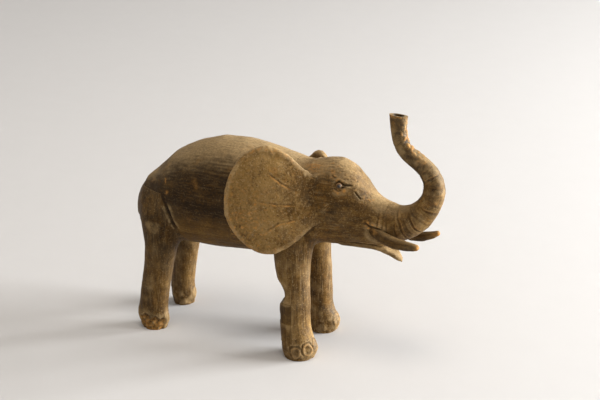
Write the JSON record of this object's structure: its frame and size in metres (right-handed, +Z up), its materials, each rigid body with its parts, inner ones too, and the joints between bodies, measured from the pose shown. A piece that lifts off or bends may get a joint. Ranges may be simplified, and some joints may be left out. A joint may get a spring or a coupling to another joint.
{
  "type": "carved elephant figurine",
  "caption": "Small carved wooden elephant standing with its trunk raised, its legs, ears, tusks and trunk pegged to a solid body.",
  "frame": {"origin": "on the ground, under the middle of the figure's box", "axes": "+X towards the head, +Y towards the elephant's left side, +Z up"},
  "size_m": [0.1813, 0.0717, 0.14],
  "materials": {
    "carved_wood": "matt, waxed and worn",
    "ear_wood": "matt, grainy, rubbed at the rims",
    "tusk_wood": "matt, rubbed",
    "strip_wood": "matt, dark",
    "dowel_wood": "raw",
    "eye_bead": "polished, near black"
  },
  "bodies": {
    "root": {"body": "carved_wood", "ear_left": "ear_wood", "ear_right": "ear_wood", "eye_left": "eye_bead", "eye_right": "eye_bead", "head": "carved_wood", "hip_dowel": "dowel_wood", "jaw_peg": "dowel_wood", "leg_front_left": "carved_wood", "leg_front_right": "carved_wood", "leg_front_right_strip": "strip_wood", "leg_rear_left": "carved_wood", "leg_rear_right": "carved_wood", "lower_jaw": "carved_wood", "neck_dowel_lower": "dowel_wood", "neck_dowel_upper": "dowel_wood", "shoulder_dowel": "dowel_wood", "tail": "carved_wood", "trunk": "carved_wood", "trunk_dowel": "dowel_wood", "tusk_left": "tusk_wood", "tusk_right": "tusk_wood"}
  },
  "joints": []
}
